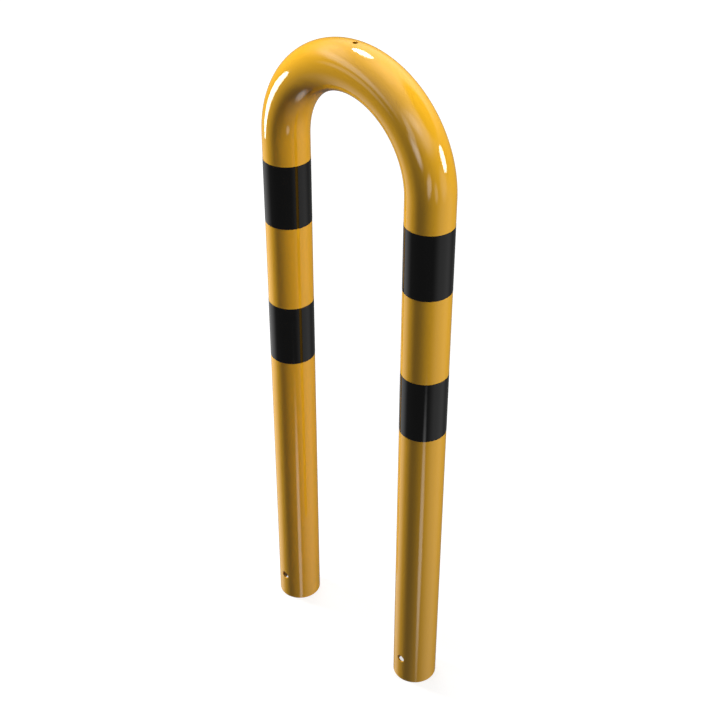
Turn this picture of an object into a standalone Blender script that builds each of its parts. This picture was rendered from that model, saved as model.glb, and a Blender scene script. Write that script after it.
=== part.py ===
"""Steel hoop barrier: a bent round tube that is set in the ground on its two legs.

The frame has its origin on the ground line midway between the legs, X across the legs, Y through
the hoop and Z up. Metres throughout.
"""

import math

import bmesh
import bpy
from mathutils import Vector

# Driving dimensions
TUBE_DIAMETER = 0.0761
TUBE_WALL = 0.003
BEND_RADIUS = 0.152  # to the tube's centre line
HOOP_HEIGHT = 1.150  # from the cut ends of the legs to the top of the bend

ANCHOR_HOLE_DIAMETER = 0.014
ANCHOR_HOLE_HEIGHT = 0.050  # centre of the hole above the cut end
VENT_HOLE_DIAMETER = 0.008

BAND_DROP = 0.040  # from the start of the bend down to the upper band
BAND_WIDTH = 0.110
BAND_SPACING = 0.150  # bare yellow between the two bands of a leg
FILM_THICKNESS = 0.0003
FILM_CLEARANCE = 0.0003  # between the film and the coated tube

# Fineness of the curved surfaces
TUBE_SIDES = 48
BEND_STEPS = 48
HOLE_SIDES = 32

# Finishes
TRAFFIC_YELLOW = (0.95, 0.49, 0.01)
FILM_BLACK = (0.008, 0.008, 0.009)

TUBE_RADIUS = TUBE_DIAMETER / 2
BEND_CENTRE_HEIGHT = HOOP_HEIGHT - TUBE_RADIUS - BEND_RADIUS
LEGS = {"left": -BEND_RADIUS, "right": BEND_RADIUS}
UPPER_BAND_BASE = BEND_CENTRE_HEIGHT - BAND_DROP - BAND_WIDTH
BANDS = {"upper": UPPER_BAND_BASE, "lower": UPPER_BAND_BASE - BAND_SPACING - BAND_WIDTH}
CUTTER_OVERRUN = 0.010  # how far each cutter runs past the wall that it cuts


def clear_scene():
    for obj in list(bpy.data.objects):
        bpy.data.objects.remove(obj, do_unlink=True)


def new_collection(name):
    collection = bpy.data.collections.new(name)
    bpy.context.scene.collection.children.link(collection)
    return collection


def new_material(name, color, roughness):
    material = bpy.data.materials.new(name)
    material.use_nodes = True
    shader = material.node_tree.nodes["Principled BSDF"]
    shader.inputs["Base Color"].default_value = (*color, 1.0)
    shader.inputs["Roughness"].default_value = roughness
    shader.inputs["Metallic"].default_value = 0.0
    material.diffuse_color = (*color, 1.0)
    return material


def new_object(name, mesh, collection, material=None):
    obj = bpy.data.objects.new(name, mesh)
    collection.objects.link(obj)
    if material:
        mesh.materials.append(material)
    return obj


def shade_smooth(mesh):
    mesh.shade_smooth()
    mesh.set_sharp_from_angle(angle=math.radians(35))


def hoop_centre_line():
    """Points up the left leg, round the bend and down the right leg."""
    above_anchor_hole = 2 * ANCHOR_HOLE_HEIGHT
    left_leg = [Vector((-BEND_RADIUS, 0, z)) for z in (0, above_anchor_hole)]
    right_leg = [Vector((BEND_RADIUS, 0, z)) for z in (above_anchor_hole, 0)]
    bend = []
    for step in range(BEND_STEPS + 1):
        angle = math.pi * (1 - step / BEND_STEPS)
        x = BEND_RADIUS * math.cos(angle)
        z = BEND_CENTRE_HEIGHT + BEND_RADIUS * math.sin(angle)
        bend.append(Vector((x, 0, z)))
    return left_leg + bend + right_leg


def hoop_surface():
    """The outside of the bent tube, open at both ends, as a mesh."""
    curve = bpy.data.curves.new("hoop_centre_line", "CURVE")
    curve.dimensions = "3D"
    curve.bevel_depth = TUBE_RADIUS
    curve.bevel_resolution = TUBE_SIDES // 2 - 2
    spline = curve.splines.new("POLY")
    points = hoop_centre_line()
    spline.points.add(len(points) - 1)
    for point, place in zip(spline.points, points):
        point.co = (*place, 1.0)

    guide = bpy.data.objects.new("hoop_centre_line", curve)
    bpy.context.scene.collection.objects.link(guide)
    bpy.context.view_layer.update()
    evaluated = guide.evaluated_get(bpy.context.evaluated_depsgraph_get())
    mesh = bpy.data.meshes.new_from_object(evaluated)
    mesh.materials.clear()
    bpy.data.objects.remove(guide, do_unlink=True)
    return mesh


def cylinder_cutter(name, diameter, centre, axis, length, collection):
    mesh = bpy.data.meshes.new(name)
    turned = Vector((0, 0, 1)).rotation_difference(axis).to_matrix().to_4x4()
    work = bmesh.new()
    bmesh.ops.create_cone(
        work,
        cap_ends=True,
        segments=HOLE_SIDES,
        radius1=diameter / 2,
        radius2=diameter / 2,
        depth=length,
        matrix=turned,
    )
    work.to_mesh(mesh)
    work.free()
    cutter = new_object(name, mesh, collection)
    cutter.location = centre
    cutter.hide_render = True
    cutter.display_type = "WIRE"
    return cutter


def cut(obj, cutter):
    boolean = obj.modifiers.new(cutter.name, "BOOLEAN")
    boolean.operation = "DIFFERENCE"
    boolean.solver = "EXACT"
    boolean.object = cutter


def make_hoop_tube(parts, cutters):
    """One length of tube, bent through half a turn, with a cross hole in each leg and a vent."""
    mesh = hoop_surface()
    shade_smooth(mesh)
    hoop = new_object("hoop_tube", mesh, parts, new_material("yellow_coat", TRAFFIC_YELLOW, 0.15))
    wall = hoop.modifiers.new("wall", "SOLIDIFY")
    wall.thickness = TUBE_WALL
    wall.offset = -1
    wall.use_even_offset = True

    across_the_tube = TUBE_DIAMETER + 2 * CUTTER_OVERRUN
    for side, x in LEGS.items():
        centre = Vector((x, 0, ANCHOR_HOLE_HEIGHT))
        name = f"anchor_hole_{side}"
        along_y = Vector((0, 1, 0))
        cut(hoop, cylinder_cutter(name, ANCHOR_HOLE_DIAMETER, centre, along_y, across_the_tube, cutters))

    through_one_wall = TUBE_WALL + 2 * CUTTER_OVERRUN
    centre = Vector((0, 0, HOOP_HEIGHT - TUBE_WALL / 2))
    along_z = Vector((0, 0, 1))
    cut(hoop, cylinder_cutter("vent_hole", VENT_HOLE_DIAMETER, centre, along_z, through_one_wall, cutters))


def make_band(name, x, base, parts, material):
    """A strip of film wrapped once round a leg: its height turned round the leg's axis."""
    inner = TUBE_RADIUS + FILM_CLEARANCE
    mesh = bpy.data.meshes.new(name)
    work = bmesh.new()
    top = work.verts.new((inner, 0, BAND_WIDTH))
    bottom = work.verts.new((inner, 0, 0))
    work.edges.new((top, bottom))
    work.to_mesh(mesh)
    work.free()
    band = new_object(name, mesh, parts, material)
    band.location = (x, 0, base)

    wrap = band.modifiers.new("wrap", "SCREW")
    wrap.axis = "Z"
    wrap.angle = math.tau
    wrap.steps = TUBE_SIDES
    wrap.render_steps = TUBE_SIDES
    wrap.use_merge_vertices = True
    wrap.merge_threshold = 0.00001
    wrap.use_smooth_shade = True
    film = band.modifiers.new("film", "SOLIDIFY")
    film.thickness = FILM_THICKNESS
    film.offset = 1
    film.use_even_offset = True


def main():
    clear_scene()
    parts = new_collection("steel_hoop_barrier")
    cutters = new_collection("cutters")
    cutters.hide_render = True
    make_hoop_tube(parts, cutters)
    film = new_material("black_film", FILM_BLACK, 0.12)
    for side, x in LEGS.items():
        for level, base in BANDS.items():
            make_band(f"band_{side}_{level}", x, base, parts, film)


main()
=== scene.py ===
"""Looks of the steel hoop barrier: a glossy yellow coated tube with four black film bands.

The frame gives the sizes. Metres throughout, with X across the legs, Y through the hoop and Z up.
"""

import math
from typing import Callable, NamedTuple

import bmesh
import bpy
from mathutils import Matrix, Vector


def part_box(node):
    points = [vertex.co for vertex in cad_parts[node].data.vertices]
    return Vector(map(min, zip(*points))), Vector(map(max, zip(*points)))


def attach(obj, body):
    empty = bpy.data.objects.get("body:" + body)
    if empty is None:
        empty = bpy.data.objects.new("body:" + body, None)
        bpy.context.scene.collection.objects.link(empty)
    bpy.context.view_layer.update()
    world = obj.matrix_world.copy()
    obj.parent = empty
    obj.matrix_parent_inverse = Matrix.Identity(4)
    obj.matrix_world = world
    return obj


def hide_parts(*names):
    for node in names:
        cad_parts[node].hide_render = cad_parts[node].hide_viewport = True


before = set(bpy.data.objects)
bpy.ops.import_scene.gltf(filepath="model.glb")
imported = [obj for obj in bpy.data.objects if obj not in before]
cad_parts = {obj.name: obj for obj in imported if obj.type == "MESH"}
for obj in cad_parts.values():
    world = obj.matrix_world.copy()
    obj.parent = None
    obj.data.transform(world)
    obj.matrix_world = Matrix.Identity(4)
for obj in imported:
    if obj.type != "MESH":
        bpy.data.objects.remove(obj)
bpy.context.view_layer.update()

# Sizes that the frame gives
HOOP_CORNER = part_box("hoop_tube")[1]
TUBE_RADIUS = HOOP_CORNER.y
BEND_RADIUS = HOOP_CORNER.x - TUBE_RADIUS
LEGS = {"left": -BEND_RADIUS, "right": BEND_RADIUS}

# Sizes that the frame's box doesn't hold
HOOP_HEIGHT = 1.150  # the vent hole takes the very top away from the frame's box
TUBE_WALL = 0.003
ANCHOR_HOLE_RADIUS = 0.007
ANCHOR_HOLE_HEIGHT = 0.050
VENT_HOLE_RADIUS = 0.004
RIM_ROUNDING = 0.0006  # the coat rounds every cut edge
WELD_BEAD_HEIGHT = 0.0005  # the seam along the inside of the welded tube
WELD_BEAD_HALF_WIDTH = 0.0035
FILM_THICKNESS = 0.00016
FILM_LIFT = 0.00003  # adhesive between the coat and the film
FILM_LAP = 0.012  # where the end of a strip covers its start
FILM_START = math.radians(130)  # where a strip starts round the leg, on the far side
LAP_CLIMB = math.radians(3)  # turn over which the end of a strip rises onto its start

BORE_RADIUS = TUBE_RADIUS - TUBE_WALL
LEG_LENGTH = HOOP_HEIGHT - TUBE_RADIUS - BEND_RADIUS
CENTRE_LINE_LENGTH = 2 * LEG_LENGTH + math.pi * BEND_RADIUS

# Fineness of the mesh
SIDES = 128
SIDE_ANGLES = [math.tau * side / SIDES for side in range(SIDES)]
RING_SPACING_FOOT = 0.006  # below an anchor hole
RING_SPACING_LEG = 0.020
RING_SPACING_BEND = math.radians(1.4)
ANCHOR_PATCH_CELLS = 12  # cells across the fine patch round an anchor hole
ANCHOR_PATCH_HALF = 0.012
VENT_PATCH_CELLS = (12, 8)
VENT_PATCH_HALF_ANGLE = math.radians(3)
PATCH_LOOPS = (0.62, 0.34, 0.14, 0.0)  # shares of the way from a hole's rim to its patch's border
RIM_STEPS = 4
FILM_STEPS = 160
FILM_SHARP_ANGLE = math.radians(40)
ON_SKIN = 0.000002  # how far off the perfect tube a vertex of the outer skin may lie

# Material slots of the hoop's mesh
COAT, BORE = 0, 1

# Camera, at the photograph's viewing angle
CAMERA_AZIMUTH = math.radians(45)
CAMERA_ELEVATION = math.radians(35.264)
CAMERA_DISTANCE = 2.273
CAMERA_TARGET = Vector((0.0001, 0.0017, 0.5766))
CAMERA_SENSOR = 36
CAMERA_LENS = 68.93
CAMERA_SHIFT = (0.0054, 0.0201)

# Colours
COAT_YELLOW = (0.95, 0.49, 0.017, 1)
COAT_YELLOW_THIN = (0.93, 0.475, 0.017, 1)
FILM_BLACK = (0.002, 0.002, 0.002, 1)
FILM_BLACK_DUSTY = (0.004, 0.004, 0.004, 1)
ZINC_DARK = (0.30, 0.31, 0.32, 1)
ZINC_PALE = (0.50, 0.51, 0.52, 1)
FLOOR_PALE = (0.30, 0.30, 0.30, 1)
FLOOR_PALER = (0.34, 0.34, 0.34, 1)
WHITE = (1, 1, 1, 1)

# Finishes
NOISE_REACH = (0.3, 0.7)  # values between which a noise nearly always lies
COAT_IOR = 1.6
COAT_ROUGHNESS = (0.03, 0.05)
COAT_PEEL_DEPTH = 0.000001
FILM_IOR = 1.45
FILM_ROUGHNESS = (0.06, 0.1)
FILM_WAVE_DEPTH = 0.00001
CRYSTAL_SCALE = 110
ZINC_METALLIC = 0.9
BORE_ROUGHNESS = (0.35, 0.55)
BORE_GRAIN_DEPTH = 0.00005
OVERSPRAY_FADE = (0.05, 0.12)  # heights up the inside of a leg between which the overspray fades out
FLOOR_ROUGHNESS = 0.9

# Light
FLOOR_HALF_SIZE = 6
FLOOR_GLOW = 0.74  # what the floor adds for the camera beside the light that falls on it
FLOOR_FADE = (1.0, 3.0)  # distances between which the floor turns plain white
FILL_FROM_BELOW = 0.03
FILL_FROM_ABOVE = 0.19
ROOM_LOW = 0.14
ROOM_WALL = 0.75
ROOM_CEILING = 0.5
WALL_RISE = (0.15, 0.5)  # heights between which the room turns from low to wall, 1 straight above
CEILING_RISE = (0.85, 1.0)
SOFT_BOX_EDGE = (0.5, 1.5)  # shares of a soft box's half size between which it fades out
DARK_WALL_EDGE = (0.75, 1.25)
UPPER_HALF = (0, 0, 0.9)  # what the soft lamps are aimed at


class Lamp(NamedTuple):
    """A round lamp by its direction (degrees), its distance and what it is aimed at."""

    azimuth: float
    elevation: float
    distance: float
    aim: tuple
    half_angle: float
    level: float  # how brightly it lights a white surface that faces it
    use: str  # "light" for soft light without a highlight, "gloss" for a highlight alone


LAMPS = {
    "soft_left": Lamp(-74, -5, 2.2, UPPER_HALF, 6, 1.3, "light"),
    "soft_right": Lamp(114, 8, 2.2, UPPER_HALF, 9, 0.66, "light"),
    "soft_top": Lamp(-130, 62, 2.2, UPPER_HALF, 14, 0.5, "light"),
    "soft_overhead": Lamp(-20, 82, 2.2, UPPER_HALF, 14, 0.45, "light"),
    "highlight_top": Lamp(-115, 59.5, 1.7, (0, 0, 1.15), 10.2, 0.45, "gloss"),
    "highlight_left": Lamp(-66.5, -16.3, 2.0, (-0.17, 0, 1.03), 10.9, 0.38, "gloss"),
    "highlight_right": Lamp(122, 8, 2.0, (0.18, 0, 1.03), 10.6, 0.54, "gloss"),
}


class SoftBox(NamedTuple):
    """A pale patch of the room that shows in the gloss (angles in degrees)."""

    azimuth: float
    elevation: float
    half_width: float
    half_height: float
    tilt: float
    level: float


SOFT_BOXES = {
    "left_panel": SoftBox(-38, 25, 30, 8, -12, 1.8),
    "left_high": SoftBox(-75, 38, 20, 12, 0, 0.9),
    "right_panel": SoftBox(46, 38, 16, 8, 0, 1.3),
    "right_wide": SoftBox(68, 37, 20, 18, 0, 1.0),
    "middle_strip": SoftBox(20, 14, 8, 16, 0, 1.7),
    "middle_spot": SoftBox(18, 3, 11, 7, 0, 2.3),
    "small_left": SoftBox(-34, 3, 15, 6, -10, 1.1),
    "small_right": SoftBox(42, -11, 11, 5.5, 40, 2.4),
    "small_far_right": SoftBox(68, -14, 6, 7, 0, 1.2),
    "low_spot": SoftBox(52, -42, 6, 5, 0, 2.0),
    "low_left": SoftBox(-82, -37, 24, 13, 0, 0.58),
    "low_right": SoftBox(114, -33, 30, 24, 0, 0.42),
    "right_horizon": SoftBox(102, -7, 14, 12, 0, 0.8),
    "back_glow": SoftBox(-168, 48, 38, 40, 0, 0.7),
    "floor_glow": SoftBox(-35, -76, 8.5, 8, 0, 1.6),
    "floor_haze": SoftBox(50, -74, 25, 25, 0, 0.2),
}
DARK_WALL = SoftBox(130, 45, 27, 24, 0, 0.08)


def direction(azimuth, elevation):
    """Unit vector, with azimuth 0 along -Y and growing towards +X."""
    level = math.cos(elevation)
    return Vector((math.sin(azimuth) * level, -math.cos(azimuth) * level, math.sin(elevation)))


def spaced(start, end, step):
    """Even steps from start towards end, without end."""
    count = max(1, round((end - start) / step))
    return [start + (end - start) * k / count for k in range(count)]


def smooth_step(share):
    """Takes 0 to 1 to a curve from 0 to 1 that is level at both ends."""
    return share * share * (3 - 2 * share)


def finished_mesh(name, work):
    mesh = bpy.data.meshes.new(name)
    work.to_mesh(mesh)
    work.free()
    return mesh


def add_object(name, data):
    placed = bpy.data.objects.new(name, data)
    bpy.context.scene.collection.objects.link(placed)
    return placed


def bridge(work, first, second, material=0):
    """Quads between two closed loops with as many vertices."""
    count = len(first)
    for k in range(count):
        after = (k + 1) % count
        face = work.faces.new((first[k], first[after], second[after], second[k]))
        face.material_index = material


def bridge_all(work, loops, material=0):
    for first, second in zip(loops, loops[1:]):
        bridge(work, first, second, material)


# The tube's surface

def centre_line(along):
    """Point and outward direction of the tube's centre line at a distance from the left cut end."""
    if along <= LEG_LENGTH:
        return Vector((-BEND_RADIUS, 0, along)), Vector((-1, 0, 0))
    if along >= CENTRE_LINE_LENGTH - LEG_LENGTH:
        return Vector((BEND_RADIUS, 0, CENTRE_LINE_LENGTH - along)), Vector((1, 0, 0))
    angle = math.pi - (along - LEG_LENGTH) / BEND_RADIUS
    outward = Vector((math.cos(angle), 0, math.sin(angle)))
    return Vector((0, 0, LEG_LENGTH)) + BEND_RADIUS * outward, outward


def tube_point(along, angle, radius):
    centre, outward = centre_line(along)
    return centre + radius * (math.cos(angle) * outward + math.sin(angle) * Vector((0, 1, 0)))


def stations():
    """Distances along the centre line at which the mesh has a ring, finer round the holes."""
    low = ANCHOR_HOLE_HEIGHT - ANCHOR_PATCH_HALF
    high = ANCHOR_HOLE_HEIGHT + ANCHOR_PATCH_HALF
    leg = spaced(RIM_ROUNDING, low, RING_SPACING_FOOT)
    leg += spaced(low, high, (high - low) / ANCHOR_PATCH_CELLS)
    leg += spaced(high, LEG_LENGTH, RING_SPACING_LEG)
    quarter_turn = BEND_RADIUS * math.pi / 2
    vent_start = quarter_turn - BEND_RADIUS * VENT_PATCH_HALF_ANGLE
    vent_cell = 2 * BEND_RADIUS * VENT_PATCH_HALF_ANGLE / VENT_PATCH_CELLS[0]
    half_bend = spaced(0, vent_start, BEND_RADIUS * RING_SPACING_BEND)
    half_bend += spaced(vent_start, quarter_turn, vent_cell)
    first_half = leg + [LEG_LENGTH + distance for distance in half_bend]
    middle = CENTRE_LINE_LENGTH / 2
    return first_half + [middle] + [CENTRE_LINE_LENGTH - s for s in reversed(first_half)]


def bore_radius_at(angle):
    """Radius of the inside, with the weld bead of the tube as a low ridge on the +Y side."""
    off_seam = abs(angle - math.pi / 2) * BORE_RADIUS
    return BORE_RADIUS - WELD_BEAD_HEIGHT * smooth_step(max(0.0, 1 - off_seam / WELD_BEAD_HALF_WIDTH))


class Hole(NamedTuple):
    """A round hole through one wall, in the middle of a patch of cells of its own."""

    along: float  # where the patch lies along the centre line and round the tube
    angle: float
    cells: tuple
    origin: Vector
    axis: Vector
    across: tuple  # the directions of u and v
    lift: Callable  # how far along the axis a skin of some radius stands at u and v
    radius: float


def lift_on_leg(u, v, radius):
    return math.sqrt(radius**2 - v**2)


def lift_on_bend(u, v, radius):
    return math.sqrt((BEND_RADIUS + math.sqrt(radius**2 - v**2)) ** 2 - u**2)


def anchor_hole(side, sign):
    return Hole(
        along=ANCHOR_HOLE_HEIGHT if side == "left" else CENTRE_LINE_LENGTH - ANCHOR_HOLE_HEIGHT,
        angle=sign * math.pi / 2,
        cells=(ANCHOR_PATCH_CELLS, ANCHOR_PATCH_CELLS),
        origin=Vector((LEGS[side], 0, ANCHOR_HOLE_HEIGHT)),
        axis=Vector((0, sign, 0)),
        across=(Vector((0, 0, 1)), Vector((1, 0, 0))),
        lift=lift_on_leg,
        radius=ANCHOR_HOLE_RADIUS,
    )


def vent_hole():
    return Hole(
        along=CENTRE_LINE_LENGTH / 2,
        angle=0.0,
        cells=VENT_PATCH_CELLS,
        origin=Vector((0, 0, LEG_LENGTH)),
        axis=Vector((0, 0, 1)),
        across=(Vector((1, 0, 0)), Vector((0, 1, 0))),
        lift=lift_on_bend,
        radius=VENT_HOLE_RADIUS,
    )


def patch_cells(hole, rings):
    """First and last ring and side of the block of cells that the hole's patch replaces."""
    ring = min(range(len(rings)), key=lambda i: abs(rings[i] - hole.along))
    side = round(hole.angle / math.tau * SIDES)
    half_rings, half_sides = hole.cells[0] // 2, hole.cells[1] // 2
    return ring - half_rings, ring + half_rings, side - half_sides, side + half_sides


def block_border(block):
    """(ring, side) pairs once round the block."""
    ring_low, ring_high, side_low, side_high = block
    border = [(ring_low, side) for side in range(side_low, side_high)]
    border += [(ring, side_high) for ring in range(ring_low, ring_high)]
    border += [(ring_high, side) for side in range(side_high, side_low, -1)]
    border += [(ring, side_low) for ring in range(ring_high, ring_low, -1)]
    return border


def hole_loops(work, hole, skin, skin_radius, inwards):
    """Loops from the border of the hole's patch over the skin to the hole and down its rounded rim."""
    along, beside = hole.across
    spokes = []
    for vert in skin:
        offset = vert.co - hole.origin
        u, v = offset.dot(along), offset.dot(beside)
        spokes.append((u, v, math.hypot(u, v)))

    def loop(reach, drop):
        """One loop: reach gives each spoke's distance from the axis, drop how deep it lies."""
        verts = []
        for u, v, length in spokes:
            share = reach(length) / length
            height = hole.lift(u * share, v * share, skin_radius) + inwards * drop
            place = hole.origin + along * (u * share) + beside * (v * share) + hole.axis * height
            verts.append(work.verts.new(place))
        return verts

    rim = hole.radius + RIM_ROUNDING
    loops = [skin]
    for share in PATCH_LOOPS:
        loops.append(loop(lambda length, share=share: rim + (length - rim) * share, 0.0))
    for step in range(1, RIM_STEPS + 1):
        turn = step / RIM_STEPS * math.pi / 2
        reach = rim - RIM_ROUNDING * math.sin(turn)
        drop = RIM_ROUNDING * (1 - math.cos(turn))
        loops.append(loop(lambda length, reach=reach: reach, drop))
    return loops


def end_loops(work, along, towards_end):
    """Loops round the cut end of a leg, from the outside over the edge to the bore."""
    loops = []
    for edge_radius, sign in ((TUBE_RADIUS, -1), (BORE_RADIUS, 1)):
        steps = range(1, RIM_STEPS + 1) if sign < 0 else range(RIM_STEPS, 0, -1)
        for step in steps:
            turn = step / RIM_STEPS * math.pi / 2
            radius = edge_radius + sign * RIM_ROUNDING * (1 - math.cos(turn))
            place = along + towards_end * RIM_ROUNDING * math.sin(turn)
            loops.append([work.verts.new(tube_point(place, angle, radius)) for angle in SIDE_ANGLES])
    return loops


def hoop_mesh():
    """The whole tube as one closed mesh, with its holes, rounded rims and weld bead."""
    work = bmesh.new()
    rings = stations()
    outside = [[work.verts.new(tube_point(s, a, TUBE_RADIUS)) for a in SIDE_ANGLES] for s in rings]
    inside = [[work.verts.new(tube_point(s, a, bore_radius_at(a))) for a in SIDE_ANGLES] for s in rings]

    open_cells = set()
    for hole in [anchor_hole(side, sign) for side in LEGS for sign in (-1, 1)] + [vent_hole()]:
        block = patch_cells(hole, rings)
        for ring in range(block[0], block[1]):
            open_cells.update((ring, side % SIDES) for side in range(block[2], block[3]))
        border = block_border(block)
        outer = [outside[ring][side % SIDES] for ring, side in border]
        inner = [inside[ring][side % SIDES] for ring, side in border]
        outer_loops = hole_loops(work, hole, outer, TUBE_RADIUS, -1)
        inner_loops = hole_loops(work, hole, inner, BORE_RADIUS, 1)
        bridge_all(work, outer_loops, COAT)
        bridge_all(work, inner_loops, BORE)
        bridge(work, outer_loops[-1], inner_loops[-1], COAT)

    for skin, material in ((outside, COAT), (inside, BORE)):
        for ring, (here, there) in enumerate(zip(skin, skin[1:])):
            for side in range(SIDES):
                if (ring, side) in open_cells:
                    continue
                after = (side + 1) % SIDES
                corners = (here[side], here[after], there[after], there[side])
                work.faces.new(corners).material_index = material

    for ring, towards_end in ((0, -1), (-1, 1)):
        loops = [outside[ring]] + end_loops(work, rings[ring], towards_end) + [inside[ring]]
        bridge_all(work, loops, COAT)

    bmesh.ops.delete(work, geom=[v for v in work.verts if not v.link_faces], context="VERTS")
    bmesh.ops.recalc_face_normals(work, faces=work.faces)
    mesh = finished_mesh("hoop", work)
    mesh.shade_smooth()
    return mesh


def true_outside_normals(mesh):
    """Gives the outer skin the normals of a perfect tube, so that reflections run smoothly over it."""
    normals = []
    for vert in mesh.vertices:
        place = vert.co
        if place.z > LEG_LENGTH:
            outward = Vector((place.x, 0, place.z - LEG_LENGTH)).normalized()
            centre = Vector((0, 0, LEG_LENGTH)) + BEND_RADIUS * outward
        else:
            centre = Vector((math.copysign(BEND_RADIUS, place.x), 0, place.z))
        spoke = place - centre
        on_skin = abs(spoke.length - TUBE_RADIUS) < ON_SKIN
        normals.append(spoke.normalized() if on_skin else Vector((0, 0, 0)))
    mesh.normals_split_custom_set_from_vertices(normals)


def make_hoop(coat, bore):
    mesh = hoop_mesh()
    mesh.materials.append(coat)
    mesh.materials.append(bore)
    true_outside_normals(mesh)
    hoop = add_object("coated_hoop", mesh)
    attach(hoop, "root")
    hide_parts("hoop_tube")


# The film bands

def film_mesh(name, x, low, high):
    """A strip of film wound once round the leg, its end lapped over its start on the far side."""
    work = bmesh.new()
    under = TUBE_RADIUS + FILM_LIFT
    whole_turn = math.tau + FILM_LAP / under
    sections = []
    for turned in spaced(0, whole_turn, whole_turn / FILM_STEPS) + [whole_turn]:
        climb = min(1.0, max(0.0, (turned - math.tau + 2 * LAP_CLIMB) / LAP_CLIMB))
        inner = under + smooth_step(climb) * (FILM_THICKNESS + 2 * FILM_LIFT)
        outer = inner + FILM_THICKNESS
        angle = FILM_START + turned
        section = []
        for radius, height in ((inner, low), (outer, low), (outer, high), (inner, high)):
            place = (x + radius * math.cos(angle), radius * math.sin(angle), height)
            section.append(work.verts.new(place))
        sections.append(section)
    bridge_all(work, sections)
    work.faces.new(sections[0])
    work.faces.new(sections[-1])
    bmesh.ops.recalc_face_normals(work, faces=work.faces)
    mesh = finished_mesh(name, work)
    mesh.shade_smooth()
    mesh.set_sharp_from_angle(angle=FILM_SHARP_ANGLE)
    return mesh


def make_films(material):
    for side, x in LEGS.items():
        for level in ("lower", "upper"):
            name = f"film_{side}_{level}"
            node = f"band_{side}_{level}"
            low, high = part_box(node)
            mesh = film_mesh(name, x, low.z, high.z)
            mesh.materials.append(material)
            film = add_object(name, mesh)
            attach(film, "root")
            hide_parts(node)


# Materials

class Tree:
    """Short forms for the nodes of a material or of the world."""

    def __init__(self, owner):
        owner.use_nodes = True
        self.nodes = owner.node_tree.nodes
        self.links = owner.node_tree.links

    def fill(self, node, inputs):
        """Gives a node's inputs fixed values, or links them to outputs of other nodes."""
        for key, value in inputs.items():
            if isinstance(value, bpy.types.NodeSocket):
                self.links.new(value, node.inputs[key])
            else:
                node.inputs[key].default_value = value

    def add(self, kind, inputs, **settings):
        node = self.nodes.new(kind)
        for name, setting in settings.items():
            setattr(node, name, setting)
        self.fill(node, inputs)
        return node

    def place(self, output="Object"):
        """Place in metres on the object itself, or with "Generated" the direction in the world."""
        return self.add("ShaderNodeTexCoord", {}).outputs[output]

    def noise(self, scale, detail):
        inputs = {"Vector": self.place(), "Scale": scale, "Detail": detail}
        return self.add("ShaderNodeTexNoise", inputs).outputs["Fac"]

    def spread(self, value, start, end, low=0.0, high=1.0, shape="LINEAR"):
        """Goes from low to high as the value goes from start to end."""
        inputs = {"Value": value, "From Min": start, "From Max": end, "To Min": low, "To Max": high}
        return self.add("ShaderNodeMapRange", inputs, interpolation_type=shape).outputs["Result"]

    def uneven(self, scale, detail, reach):
        """A number that wanders between the two ends of its reach."""
        return self.spread(self.noise(scale, detail), *NOISE_REACH, *reach)

    def combine(self, operation, first, second):
        return self.add("ShaderNodeMath", {0: first, 1: second}, operation=operation).outputs["Value"]

    def length(self, vector):
        return self.add("ShaderNodeVectorMath", {0: vector}, operation="LENGTH").outputs["Value"]

    def height(self, vector):
        return self.add("ShaderNodeSeparateXYZ", {"Vector": vector}).outputs["Z"]

    def blend(self, factor, first, second):
        """The first colour where the factor is 0, the second where it is 1."""
        mix = self.add("ShaderNodeMix", {"Factor": factor}, data_type="RGBA")
        colors = [k for k, socket in enumerate(mix.inputs) if socket.type == "RGBA"]
        self.fill(mix, dict(zip(colors, (first, second))))
        return next(socket for socket in mix.outputs if socket.type == "RGBA")

    def bump(self, height, depth):
        return self.add("ShaderNodeBump", {"Height": height, "Distance": depth}).outputs["Normal"]


def new_material(name):
    material = bpy.data.materials.new(name)
    tree = Tree(material)
    return material, tree, tree.nodes["Principled BSDF"]


def coat_material():
    """Gloss powder coat: a saturated yellow with a slight orange peel and faint unevenness."""
    material, tree, shader = new_material("yellow_powder_coat")
    thickness = tree.noise(scale=14, detail=3)
    surface = {
        "IOR": COAT_IOR,
        "Base Color": tree.blend(thickness, COAT_YELLOW, COAT_YELLOW_THIN),
        "Roughness": tree.uneven(scale=40, detail=4, reach=COAT_ROUGHNESS),
        "Normal": tree.bump(tree.noise(scale=420, detail=1), COAT_PEEL_DEPTH),
    }
    tree.fill(shader, surface)
    return material


def film_material():
    """Gloss self-adhesive film, faintly wavy where it was drawn round the tube."""
    material, tree, shader = new_material("black_gloss_film")
    dust = tree.noise(scale=30, detail=3)
    surface = {
        "IOR": FILM_IOR,
        "Base Color": tree.blend(dust, FILM_BLACK, FILM_BLACK_DUSTY),
        "Roughness": tree.uneven(scale=60, detail=5, reach=FILM_ROUGHNESS),
        "Normal": tree.bump(tree.noise(scale=90, detail=1), FILM_WAVE_DEPTH),
    }
    tree.fill(shader, surface)
    return material


def bore_material():
    """Zinc on the inside of the tube, with yellow overspray that fades out above the cut ends."""
    material, tree, shader = new_material("bore_of_tube")
    place = tree.place()
    crystals = tree.add("ShaderNodeTexVoronoi", {"Vector": place, "Scale": CRYSTAL_SCALE})
    shade = tree.add("ShaderNodeSeparateColor", {"Color": crystals.outputs["Color"]})
    zinc = tree.blend(shade.outputs["Red"], ZINC_DARK, ZINC_PALE)
    bare = tree.spread(tree.height(place), *OVERSPRAY_FADE)
    surface = {
        "Base Color": tree.blend(bare, COAT_YELLOW, zinc),
        "Metallic": tree.combine("MULTIPLY", bare, ZINC_METALLIC),
        "Roughness": tree.uneven(scale=200, detail=3, reach=BORE_ROUGHNESS),
        "Normal": tree.bump(tree.noise(scale=300, detail=3), BORE_GRAIN_DEPTH),
    }
    tree.fill(shader, surface)
    return material


# Stage

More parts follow.
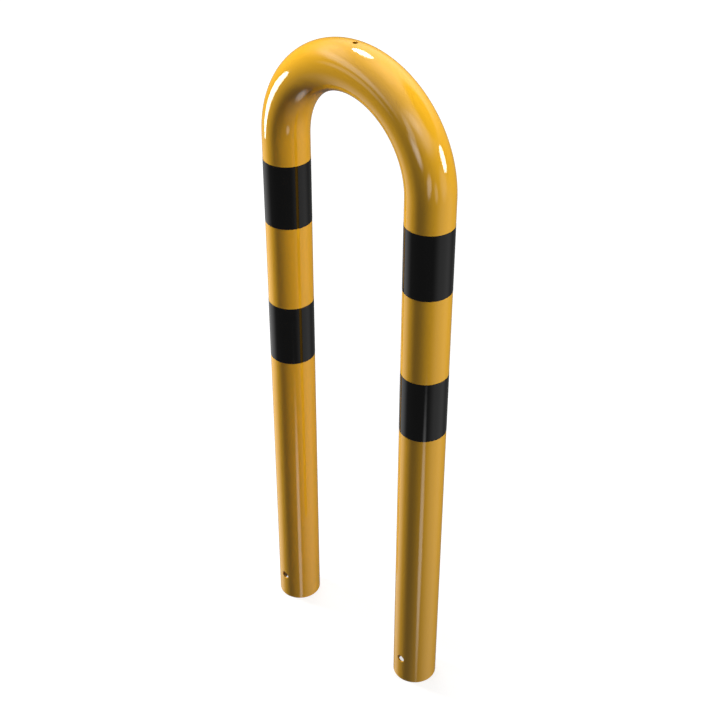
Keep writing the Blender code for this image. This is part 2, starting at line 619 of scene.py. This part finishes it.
def make_camera():
    camera = bpy.data.cameras.new("camera")
    camera.sensor_width = CAMERA_SENSOR
    camera.lens = CAMERA_LENS
    camera.shift_x, camera.shift_y = CAMERA_SHIFT
    viewer = add_object("camera", camera)
    back = direction(CAMERA_AZIMUTH, CAMERA_ELEVATION)
    viewer.location = CAMERA_TARGET + CAMERA_DISTANCE * back
    viewer.rotation_euler = back.to_track_quat("Z", "Y").to_euler()
    bpy.context.scene.camera = viewer


def make_floor():
    """A pale floor that the camera sees as white, apart from the hoop's soft shadow."""
    work = bmesh.new()
    bmesh.ops.create_grid(work, x_segments=1, y_segments=1, size=FLOOR_HALF_SIZE)
    mesh = finished_mesh("floor", work)
    floor = add_object("floor", mesh)
    floor.visible_diffuse = False
    floor.visible_glossy = False
    material, tree, shader = new_material("pale_floor")
    grain = tree.noise(scale=5, detail=2)
    from_middle = tree.length(tree.place())
    surface = {
        "Base Color": tree.blend(grain, FLOOR_PALE, FLOOR_PALER),
        "Roughness": FLOOR_ROUGHNESS,
        "Specular IOR Level": 0,
        "Emission Color": WHITE,
        "Emission Strength": tree.spread(from_middle, *FLOOR_FADE, FLOOR_GLOW, 1.0),
    }
    tree.fill(shader, surface)
    mesh.materials.append(material)


def make_lamp(name, lamp):
    towards = direction(math.radians(lamp.azimuth), math.radians(lamp.elevation))
    radius = lamp.distance * math.tan(math.radians(lamp.half_angle))
    radiance = lamp.level / math.sin(math.radians(lamp.half_angle)) ** 2
    light = bpy.data.lights.new(name, "AREA")
    light.shape = "DISK"
    light.size = 2 * radius
    light.energy = radiance * math.pi * math.pi * radius**2
    holder = add_object(name, light)
    holder.location = Vector(lamp.aim) + lamp.distance * towards
    holder.rotation_euler = towards.to_track_quat("Z", "Y").to_euler()
    holder.visible_camera = False
    holder.visible_diffuse = lamp.use == "light"
    holder.visible_glossy = lamp.use == "gloss"


def off_middle(tree, around, box):
    """How far a direction lies from the middle of a patch of the room, 1 at its edge."""
    middle = direction(math.radians(box.azimuth), math.radians(box.elevation))
    tilt = Matrix.Rotation(math.radians(box.tilt), 3, "Z")
    turned = middle.to_track_quat("Z", "Y").to_matrix() @ tilt
    width = math.sin(math.radians(box.half_width))
    height = math.sin(math.radians(box.half_height))
    frame_of_box = {
        "Vector": around,
        "Location": middle,
        "Rotation": turned.to_euler(),
        "Scale": (width, height, 1),
    }
    return tree.length(tree.add("ShaderNodeMapping", frame_of_box, vector_type="TEXTURE").outputs["Vector"])


def make_world():
    """White to the camera, a weak fill that grows upwards for the surfaces, soft boxes in the gloss."""
    world = bpy.data.worlds.new("studio")
    bpy.context.scene.world = world
    tree = Tree(world)
    around = tree.place("Generated")
    height = tree.height(around)

    def ramp(value, start, end, low, high):
        return tree.spread(value, start, end, low, high, "SMOOTHSTEP")

    room = ramp(height, *WALL_RISE, ROOM_LOW, ROOM_WALL)
    room = tree.combine("ADD", room, ramp(height, *CEILING_RISE, 0.0, ROOM_CEILING))
    for box in SOFT_BOXES.values():
        glow = ramp(off_middle(tree, around, box), *SOFT_BOX_EDGE, box.level, 0.0)
        room = tree.combine("ADD", room, glow)
    shade = ramp(off_middle(tree, around, DARK_WALL), *DARK_WALL_EDGE, DARK_WALL.level, 1.0)
    room = tree.combine("MULTIPLY", room, shade)

    ray = tree.add("ShaderNodeLightPath", {}).outputs
    white = tree.combine("MAXIMUM", ray["Is Camera Ray"], ray["Is Transmission Ray"])
    gloss = tree.combine("MULTIPLY", ray["Is Glossy Ray"], room)
    graded = ramp(height, -1.0, 1.0, FILL_FROM_BELOW, FILL_FROM_ABOVE)
    fill = tree.combine("MULTIPLY", ray["Is Diffuse Ray"], graded)
    strength = tree.combine("ADD", white, tree.combine("ADD", gloss, fill))
    tree.fill(tree.nodes["Background"], {"Color": WHITE, "Strength": strength})
    world.cycles.sampling_method = "NONE"


make_hoop(coat_material(), bore_material())
make_films(film_material())
make_camera()
make_floor()
make_world()
for lamp_name, lamp_values in LAMPS.items():
    make_lamp(lamp_name, lamp_values)
bpy.context.scene.view_settings.view_transform = "Standard"
